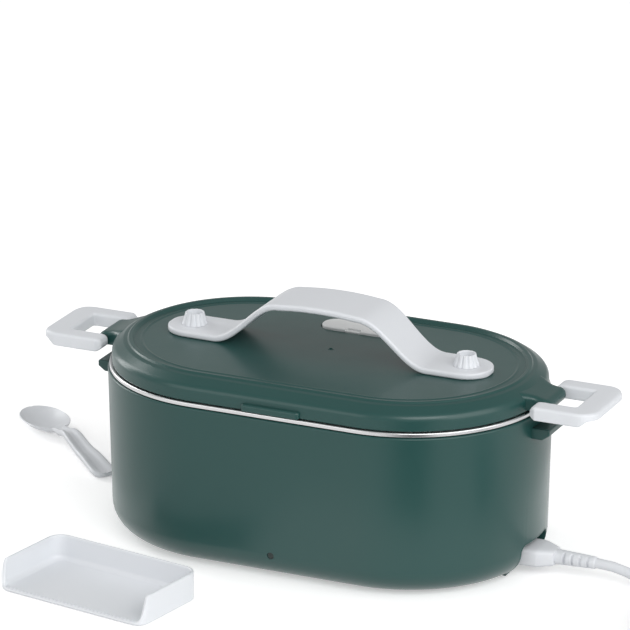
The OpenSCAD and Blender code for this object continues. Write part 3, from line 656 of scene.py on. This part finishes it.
def latch(name, side, body, node):
    """A latch: two arms on the pin, a window for the lug, and a thinner finger lip."""
    low, high = 83.95, 90.55
    tip, back, window_end = PIN_X + 29.5, PIN_X - 3.3, PIN_X + 17.05
    half, window_half = 22, 12.2
    outline = loop([
        (PIN_X - 0.2, -half, 1.8), (tip, -half, 9), (tip, half, 9),
        (PIN_X - 0.2, half, 1.8), (back, 20, 1.7), (back, window_half, 1.7),
        (window_end, window_half, 1.2), (window_end, -window_half, 1.2),
        (back, -window_half, 1.7), (back, -20, 1.7)], 9)

    mesh = bpy.data.meshes.new("latch")
    verts, faces = slab_parts(outline, low, high, 0.8, 1.5)
    mesh.from_pydata(verts, [], faces)
    work = bmesh.new()
    work.from_mesh(mesh)
    bmesh.ops.recalc_face_normals(work, faces=work.faces)
    cuts = [PIN_X - 2.4, PIN_X - 1.2, PIN_X, PIN_X + 1.5] + [tip - 10 + 0.7 * k
                                                            for k in range(15)]
    for x in cuts:
        bmesh.ops.bisect_plane(work, geom=work.verts[:] + work.edges[:] + work.faces[:],
                               plane_co=(x, 0, 0), plane_no=(1, 0, 0), dist=1e-5)
    mid = (low + high) / 2
    for v in work.verts:
        x, y, z = v.co
        # the arm ends are round about the pin
        if x < PIN_X + 0.01:
            reach = min(1.0, (PIN_X - x) / 3.35)
            v.co.z = mid + (z - mid) * math.sqrt(max(0.12, 1 - reach * reach))
        # the finger lip is scooped out underneath
        scoop = smooth_step((x - (tip - 8.2)) / 5.2)
        if z < mid:
            v.co.z += scoop * 2.9 * (mid - z) / (mid - low)
        v.co.z -= 0.35 * smooth_step((x - (tip - 4)) / 4) * (1 if z > mid else 0)
    work.to_mesh(mesh)
    work.free()
    verts = [(side * v.co.x, v.co.y, v.co.z) for v in mesh.vertices]
    faces = [tuple(p.vertices) for p in mesh.polygons]
    bpy.data.meshes.remove(mesh)
    build(name, verts, faces, WHITE, body, (node,), slot="white_plastic", sharp=60)


latch("latch_right_arm", 1, "latch_right", "latch_right")
latch("latch_left_arm", -1, "latch_left", "latch_left")

# ---------------------------------------------------------------- separator


def separator():
    """A shallow tray, open along one side, with a soft corner from floor to wall."""
    hx, hy, high, wall, corner = 42.0, 23.5, 14.0, 1.6, 8.0
    turn = math.radians(-10)

    def place(x, y, z):
        return (-67.5 + x * math.cos(turn) - y * math.sin(turn),
                -112 + x * math.sin(turn) + y * math.cos(turn), z)

    path = rounded([(-hx, -hy + 6), (-hx, hy, corner), (hx, hy, corner), (hx, -hy + 6)], 7)
    dense = []
    for (x0, y0), (x1, y1) in zip(path, path[1:]):
        count = max(1, round(math.hypot(x1 - x0, y1 - y0) / 3))
        dense += [(x0 + (x1 - x0) * k / count, y0 + (y1 - y0) * k / count)
                  for k in range(count)]
    dense.append(path[-1])
    # the walls' front ends run down in a rounded corner to the open edge
    front = []
    for k in range(1, 9):
        a = math.radians(11.25 * k)
        front.append((hx - 6 + 6 * math.cos(a), -hy + 6 - 6 * math.sin(a)))
    stations = []
    line = [(-x, y) for x, y in reversed(front)] + dense + front
    n = len(line)
    for i, (x, y) in enumerate(line):
        a, b = line[max(0, i - 1)], line[min(n - 1, i + 1)]
        t = unit((b[0] - a[0], b[1] - a[1]))
        out = (-t[1], t[0])
        # height of the wall: full along the sides, falling round the front corners
        fall = smooth_step((y + hy - 0.4) / 5.6)
        stations.append(((x, y), out, wall + (high - wall) * fall))
    # cross-section: outside foot, outside, rounded top, inside, soft corner, floor
    rings = []
    for (x, y), out, top in stations:
        soft = min(3.2, max(0.3, (top - wall) * 0.6))
        section = [(0.9, 0.0), (0.35, 0.12), (0.08, 0.5)]
        rise = max(0.0, top - wall)
        section += [(0.0, 0.9), (0.0, max(1.0, top - 0.8)), (0.12, max(1.1, top - 0.35)),
                    (0.45, max(1.2, top - 0.06)), (0.8, max(1.25, top)),
                    (1.15, max(1.2, top - 0.06)), (1.48, max(1.1, top - 0.35))]
        inner = 1.6
        section.append((inner, wall + max(soft, rise - 0.8) if rise > 1.2
                        else wall * 0.98 + rise * 0.5))
        for k in range(1, 7):
            a = math.radians(15 * k)
            section.append((inner + soft * (1 - math.cos(a)),
                            wall + soft * (1 - math.sin(a))))
        rings.append([place(x - out[0] * d, y - out[1] * d, z) for d, z in section])
    verts, faces = strips(rings, closed_ring=False)
    m = len(rings[0])
    faces.append(tuple(i * m + m - 1 for i in range(n)))  # the floor
    faces.append(tuple(i * m for i in range(n - 1, -1, -1)))  # the underside
    # the open front edge
    last = (n - 1) * m
    faces += [(last + k, last + k + 1, k + 1, k) for k in range(m - 1)]
    build("separator_tray", verts, faces, LOOSE, "separator", ("separator",),
          slot="white_plastic", sharp=70)


separator()

# ---------------------------------------------------------------- spoon


def spoon():
    """A moulded spoon: an oval bowl and a stout handle hollowed along its upper side."""
    length, bowl, width = 98.0, 36.0, 24.0
    turn = math.radians(-40)

    def place(u, v, w):
        return (-206.2 + u * math.cos(turn) - v * math.sin(turn),
                86.1 + u * math.sin(turn) + v * math.cos(turn), max(0.02, w))

    def curve(points, u):
        for (u0, a), (u1, b) in zip(points, points[1:]):
            if u <= u1:
                return a + (b - a) * smooth_step((u - u0) / (u1 - u0))
        return points[-1][1]

    us = [0.05, 0.4, 1.1, 2.2, 3.6, 5.4, 7.6, 10, 12.6, 15.2, 17.6, 20, 22.4, 24.6, 26.8,
          28.8, 30.6, 32.2, 33.8, 35.4, 37, 39, 41, 43.5, 46, 49, 52, 56, 60, 65, 70, 75, 80,
          85, 89, 92, 94.5, 96.2, 97.2, 97.75, 97.95]
    rings = []
    for u in us:
        oval = width / 2 * math.sqrt(max(0.0, 1 - ((u - 18) / 18) ** 2))
        neck = curve([(28, 2.6), (37, 3.5), (44, 3.4), (59, 4.6), (93, 5.9), (98, 5.9)], u)
        half = (oval ** 4 + neck ** 4) ** 0.25 if u > 26 else oval
        if u > 92.5:
            half = 5.9 * math.sqrt(max(0.0, 1 - ((u - 92.5) / 5.5) ** 2)) ** 0.9
        rim = curve([(0, 6.3), (12, 6.5), (24, 6.4), (33, 6.5), (42, 8.2), (50, 10.2),
                     (72, 6.7), (98, 3.7)], u)
        depth = curve([(0, 0.2), (6, 3.0), (14, 5.0), (21, 5.0), (29, 2.8), (37, 1.3),
                       (46, 1.3), (88, 1.5), (97, 0.5), (98, 0.3)], u)
        thick = curve([(0, 1.2), (20, 1.25), (32, 1.9), (44, 3.4), (80, 3.4), (96, 3.0),
                       (98, 2.0)], u)
        share = 1 - smooth_step((u - 30) / 10)
        section = []
        steps = 14
        for k in range(steps + 1):  # upper side: hollow, with a flat rim beside the channel
            q = -1 + 2 * k / steps
            channel = min(1.0, max(0.0, (1 - abs(q)) / 0.72 - 0.18))
            dip = -depth * ((1 - abs(q) ** 2.2) * share + smooth_step(channel) * (1 - share))
            section.append((half * q * 0.96, rim + dip))
        section.append((half, rim - 0.35))
        for k in range(steps + 1):
            q = 1 - 2 * k / steps
            dip = -depth * (1 - abs(q) ** 2.2) * share
            body = thick * (1 - 0.35 * abs(q)) * share + thick * (1 - share) * (
                1.04 - 0.10 * abs(q) ** 4)
            section.append((half * q * (0.96 - 0.05 * (1 - share)),
                            rim + dip - max(0.7, body)))
        section.append((-half, rim - 0.35))
        rings.append([place(u, v, w) for v, w in section])
    verts, faces = strips(rings)
    n = len(rings[0])
    faces += [tuple(range(n)), tuple(range((len(rings) - 1) * n, len(rings) * n))]
    build("serving_spoon", verts, faces, LOOSE, "spoon", ("spoon",), slot="white_plastic",
          weighted=False, sharp=75)


spoon()

# ---------------------------------------------------------------- appliance plug

CORD_D = 5.0
INLET_Z = 9.1
SHOULDER = 99.6
RELIEF_START, RELIEF_END = 118.6, 138.6


def superellipse(hy, hz, power, count=48):
    out = []
    for k in range(count):
        a = 2 * math.pi * k / count
        c, s = math.cos(a), math.sin(a)
        out.append((math.copysign(abs(c) ** (2 / power), c) * hy,
                    math.copysign(abs(s) ** (2 / power), s) * hz))
    return out


def plug():
    rows = [(SHOULDER, 7.4, 3.4, 5), (SHOULDER + 0.15, 8.2, 4.0, 5),
            (SHOULDER + 0.6, 8.8, 4.45, 5), (SHOULDER + 1.4, 9.15, 4.65, 5),
            (SHOULDER + 3, 9.25, 4.7, 5), (SHOULDER + 6, 9.15, 4.7, 5),
            (SHOULDER + 9, 9.0, 4.7, 5), (SHOULDER + 11.0, 8.8, 4.7, 5),
            (SHOULDER + 12.0, 8.45, 4.65, 4.6), (SHOULDER + 14.5, 7.3, 4.4, 4.2),
            (SHOULDER + 17, 6.1, 4.1, 3.8), (SHOULDER + 18.4, 5.4, 3.85, 3.6),
            (SHOULDER + 19, 4.9, 3.6, 3.4)]
    rings = [[(x, y, INLET_Z + z) for y, z in superellipse(hy, hz, p)]
             for x, hy, hz, p in rows]
    verts, faces = strips(rings)
    n = 48
    faces += [tuple(range(n)), tuple(range((len(rings) - 1) * n, len(rings) * n))]
    parts = [(verts, faces)]
    for s in (-1, 1):  # two barrels, hollow for the pins
        rows = [(1.0, 4.15), (-12.9, 4.15), (-13.25, 4.05), (-13.45, 3.85), (-13.5, 3.6),
                (-13.5, 1.9), (-13.35, 1.65), (-13.0, 1.5), (-4.0, 1.5)]
        count = 40
        rings = [[(SHOULDER + x, s * 4.3 + r * math.cos(2 * math.pi * k / count),
                   INLET_Z + r * math.sin(2 * math.pi * k / count)) for k in range(count)]
                 for x, r in rows]
        barrel, sides = strips(rings)
        sides.append(tuple(range((len(rings) - 1) * count, len(rings) * count)))
        parts.append((barrel, sides))
    web = slab_parts([(-2.6, -2.4), (2.6, -2.4), (2.6, 2.4), (-2.6, 2.4)],
                     SHOULDER - 13.4, SHOULDER + 0.5, 0.3, 0,
                     lambda a, b, c: (c, a, INLET_Z + b))
    parts.append(web)
    verts, faces = joined(*parts)
    return build("appliance_plug", verts, faces, CORD, "plug", ("plug_body",),
                 slot="cord_white", sharp=50)


plug_piece = plug()


def relief():
    """The tapered strain relief with its slots; the piece is built straight and does not bend.
    """
    count = 40
    rows = []
    for k in range(61):
        x = RELIEF_START - 0.6 + (RELIEF_END - RELIEF_START + 0.6) * k / 60
        t = (x - RELIEF_START) / 20
        rows.append((x, 3.75 - 0.75 * max(0, t)))
    rings = []
    for x, r in rows:
        slot = 0.0
        for i in range(4):
            c = RELIEF_START + 4.6 + 4 * i
            slot = max(slot, 1 - smooth_step((abs(x - c) - 0.35) / 0.35))
        ring = []
        for k in range(count):
            a = 2 * math.pi * k / count
            # the slots bite in from the two sides and leave a rib above and below
            side_share = smooth_step((abs(math.cos(a)) - 0.45) / 0.25)
            rr = r - slot * side_share * (r - 2.1)
            end = 1.0
            if x > RELIEF_END - 0.6:
                end = 1 - 0.12 * ((x - RELIEF_END + 0.6) / 0.6) ** 2
            ring.append((x, rr * end * math.cos(a), INLET_Z + rr * end * math.sin(a)))
        rings.append(ring)
    verts, faces = strips(rings)
    faces += [tuple(range(count)),
              tuple(range((len(rings) - 1) * count, len(rings) * count))]
    return build("plug_strain_relief", verts, faces, CORD, "plug", ("strain_relief",),
                 slot="cord_white", sharp=40, weighted=False)


relief_piece = relief()

# ---------------------------------------------------------------- power cord

LAY = CORD_D / 2 + 0.1
COIL = (222.0, -47.0)
route = [(RELIEF_END - 2, 0, INLET_Z), (RELIEF_END, 0, INLET_Z), (147, 0, 8.6),
         (154, -0.2, 7.2), (161, -0.8, 5.2), (168, -1.8, 3.6), (175, -3.4, 2.8),
         (182, -5.6, LAY), (190, -8.6, LAY), (198, -12, LAY), (206, -15.2, LAY),
         (214, -17.4, LAY)]
steps_per_turn = 36
for k in range(int(4.25 * steps_per_turn) + 1):
    a = math.radians(90 - 360 * k / steps_per_turn)
    rise = (CORD_D + 0.2) * k / steps_per_turn
    route.append((COIL[0] + 29 * math.cos(a), COIL[1] + 29 * math.sin(a), LAY + rise))
route += [(251.2, -54, 24.2), (251.6, -61, 22.4), (252.2, -68, 19.4), (253, -75, 15.8),
          (254, -82, 12.4), (255, -89, 9.8), (256, -96, 8.4), (256.8, -103, 8),
          (256.8, -106, 8)]

curve = bpy.data.curves.new("lead", "CURVE")
curve.dimensions = "3D"
curve.resolution_u = 3
curve.bevel_depth = CORD_D / 2 * MM
curve.bevel_resolution = 5
line = curve.splines.new("POLY")
line.points.add(len(route) - 1)
for point, place in zip(line.points, route):
    point.co = (*[c * MM for c in place], 1)
line.use_smooth = True
curve.materials.append(CORD)
lead = bpy.data.objects.new("power_lead", curve)
bpy.context.scene.collection.objects.link(lead)
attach(lead, "plug")
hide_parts("power_cord", "cord_coil", "cord_tail")


def mains():
    """The flat two-pin plug at the far end."""
    rows = [(0, 4.0, 4.0, 2.2), (0.6, 5.2, 4.8, 2.4), (4, 7.4, 5.4, 2.8), (8, 9.8, 6.1, 3),
            (12, 12.2, 6.6, 3.4), (17, 14.4, 7.0, 4), (22, 16.2, 7.4, 5),
            (27, 17.2, 7.6, 5.5), (31, 17.4, 7.55, 6), (34, 17.1, 7.2, 6),
            (35.4, 16.6, 6.8, 6), (36, 15.8, 6.2, 6)]
    rings = [[(256.8 + x, -103 - d, 8 + z) for x, z in superellipse(hx, hz, p)]
             for d, hx, hz, p in rows]
    verts, faces = strips(rings)
    n = 48
    faces += [tuple(range(n)), tuple(range((len(rings) - 1) * n, len(rings) * n))]
    return build("mains_plug_body", verts, faces, CORD, "plug", ("mains_plug",),
                 slot="cord_white", sharp=50)


mains_piece = mains()

length = sum(math.dist(a, b) for a, b in zip(route[1:-1], route[2:-1])) * MM

# ---------------------------------------------------------------- floor, light, camera

floor_mesh = bpy.data.meshes.new("floor")
floor_mesh.from_pydata([(-30, -30, 0), (30, -30, 0), (30, 30, 0), (-30, 30, 0)], [],
                       [(0, 1, 2, 3)])
floor = bpy.data.objects.new("floor", floor_mesh)
floor.location.z = -0.0002
bpy.context.scene.collection.objects.link(floor)
mat = bpy.data.materials.new("pale_floor")
mat.use_nodes = True
tree = mat.node_tree
shader = tree.nodes["Principled BSDF"]
shader.inputs["Base Color"].default_value = (0.86, 0.86, 0.86, 1)
shader.inputs["Roughness"].default_value = 0.9
shader.inputs["Specular IOR Level"].default_value = 0.1
paths = tree.nodes.new("ShaderNodeLightPath")
glow = []
for ray, amount in (("Is Camera Ray", 0.42), ("Is Glossy Ray", 0.55)):
    part = tree.nodes.new("ShaderNodeMath")
    part.operation = "MULTIPLY"
    part.inputs[1].default_value = amount
    tree.links.new(paths.outputs[ray], part.inputs[0])
    glow.append(part.outputs[0])
# far from the object, where no lamp reaches, the floor glows more and stays white
place = tree.nodes.new("ShaderNodeTexCoord")
reach = tree.nodes.new("ShaderNodeVectorMath")
reach.operation = "LENGTH"
tree.links.new(place.outputs["Object"], reach.inputs[0])
far = tree.nodes.new("ShaderNodeMapRange")
far.inputs["From Min"].default_value = 1.0
far.inputs["From Max"].default_value = 2.5
far.inputs["To Min"].default_value = 0.42
far.inputs["To Max"].default_value = 0.72
tree.links.new(reach.outputs["Value"], far.inputs["Value"])
tree.links.new(far.outputs["Result"], glow[0].node.inputs[1])
strength = tree.nodes.new("ShaderNodeMath")
strength.operation = "MAXIMUM"
tree.links.new(glow[0], strength.inputs[0])
tree.links.new(glow[1], strength.inputs[1])
shader.inputs["Emission Color"].default_value = (1, 1, 1, 1)
tree.links.new(strength.outputs[0], shader.inputs["Emission Strength"])
floor_mesh.materials.append(mat)

# a pale card on the floor, seen only in reflections, with one soft-edged dark stretch:
# the studio's dark board, which polished steel shows as a single dark band
card_mesh = bpy.data.meshes.new("reflection_card")
around = [math.radians(a) for a in range(0, 360, 6)]
card_mesh.from_pydata([(r * math.cos(a), r * math.sin(a), 0) for r in (0.17, 2.2)
                       for a in around], [],
                      [(k, (k + 1) % 60, 60 + (k + 1) % 60, 60 + k) for k in range(60)])
card = bpy.data.objects.new("reflection_card", card_mesh)
card.location = (0.02, 0, -0.0001)
card.rotation_euler.z = math.radians(-90)
card.visible_camera = card.visible_diffuse = card.visible_shadow = False
card.visible_transmission = card.visible_volume_scatter = False
bpy.context.scene.collection.objects.link(card)
mat = bpy.data.materials.new("reflection_card")
mat.use_nodes = True
tree = mat.node_tree
shader = tree.nodes["Principled BSDF"]
shader.inputs["Base Color"].default_value = (0, 0, 0, 1)
shader.inputs["Specular IOR Level"].default_value = 0
place = tree.nodes.new("ShaderNodeTexCoord")
turn = tree.nodes.new("ShaderNodeTexGradient")
turn.gradient_type = "RADIAL"
tree.links.new(place.outputs["Object"], turn.inputs["Vector"])
ramp = tree.nodes.new("ShaderNodeValToRGB")
pale, dark = 0.92, 0.06
greys = [(-180, pale), (8, pale), (25, dark), (36, dark), (47, pale), (180, pale)]
stops = ramp.color_ramp.elements
while len(stops) < len(greys):
    stops.new(0.5)
for stop, (degrees, grey) in zip(stops, greys):
    stop.position = degrees / 360 + 0.5
    stop.color = (grey, grey, grey, 1)
tree.links.new(turn.outputs["Fac"], ramp.inputs["Fac"])
tree.links.new(ramp.outputs["Color"], shader.inputs["Emission Color"])
shader.inputs["Emission Strength"].default_value = 1.0
card_mesh.materials.append(mat)

scene = bpy.context.scene
scene.view_settings.view_transform = "Standard"
world = bpy.data.worlds.new("studio")
scene.world = world
world.use_nodes = True
tree = world.node_tree
back = tree.nodes["Background"]
back.inputs["Color"].default_value = (1, 1, 1, 1)
paths = tree.nodes.new("ShaderNodeLightPath")
level = tree.nodes.new("ShaderNodeMapRange")
level.inputs["To Min"].default_value = 0.42
level.inputs["To Max"].default_value = 1.0
tree.links.new(paths.outputs["Is Camera Ray"], level.inputs["Value"])
gloss = tree.nodes.new("ShaderNodeMath")
gloss.operation = "MULTIPLY"
gloss.inputs[1].default_value = 0.50
tree.links.new(paths.outputs["Is Glossy Ray"], gloss.inputs[0])
strength = tree.nodes.new("ShaderNodeMath")
strength.operation = "MAXIMUM"
tree.links.new(level.outputs["Result"], strength.inputs[0])
tree.links.new(gloss.outputs[0], strength.inputs[1])
tree.links.new(strength.outputs[0], back.inputs["Strength"])


def lamp(name, at, to, width, height, power):
    light = bpy.data.lights.new(name, "AREA")
    light.shape = "RECTANGLE"
    light.size, light.size_y = width, height
    light.energy = power
    obj = bpy.data.objects.new(name, light)
    bpy.context.scene.collection.objects.link(obj)
    obj.location = at
    obj.rotation_euler = (Vector(to) - Vector(at)).to_track_quat("-Z", "Y").to_euler()


lamp("key", (-0.95, -1.7, 0.75), (0, 0, 0.1), 1.2, 1.0, 6)
lamp("front_box", (0.92, -1.26, 1.15), (0, 0, 0.1), 1.0, 0.8, 12.5)
lamp("right_box", (1.5, -0.40, 0.75), (0, 0, 0.1), 1.4, 1.4, 13)
lamp("left_strip", (-1.5, 0.3, 0.6), (0, 0, 0.1), 0.5, 1.3, 10)

AZ, EL, ROLL = math.radians(24.56), math.radians(19.1), math.radians(0.11)
DISTANCE, FOCAL, SHIFT_R, SHIFT_U = 2.543, 5273.27, -0.00658, 0.10638
away = Vector((math.sin(AZ) * math.cos(EL), -math.cos(AZ) * math.cos(EL), math.sin(EL)))
right = Vector((math.cos(AZ), math.sin(AZ), 0))
up = right.cross(-away)
right, up = (right * math.cos(ROLL) + up * math.sin(ROLL),
             up * math.cos(ROLL) - right * math.sin(ROLL))
data = bpy.data.cameras.new("camera")
data.sensor_width = 36
data.lens = FOCAL / 630 * 36
data.clip_start, data.clip_end = 0.1, 60
camera = bpy.data.objects.new("camera", data)
scene.collection.objects.link(camera)
camera.location = right * SHIFT_R + up * SHIFT_U + away * DISTANCE
camera.rotation_euler = Matrix((right, up, away)).transposed().to_euler()
scene.camera = camera
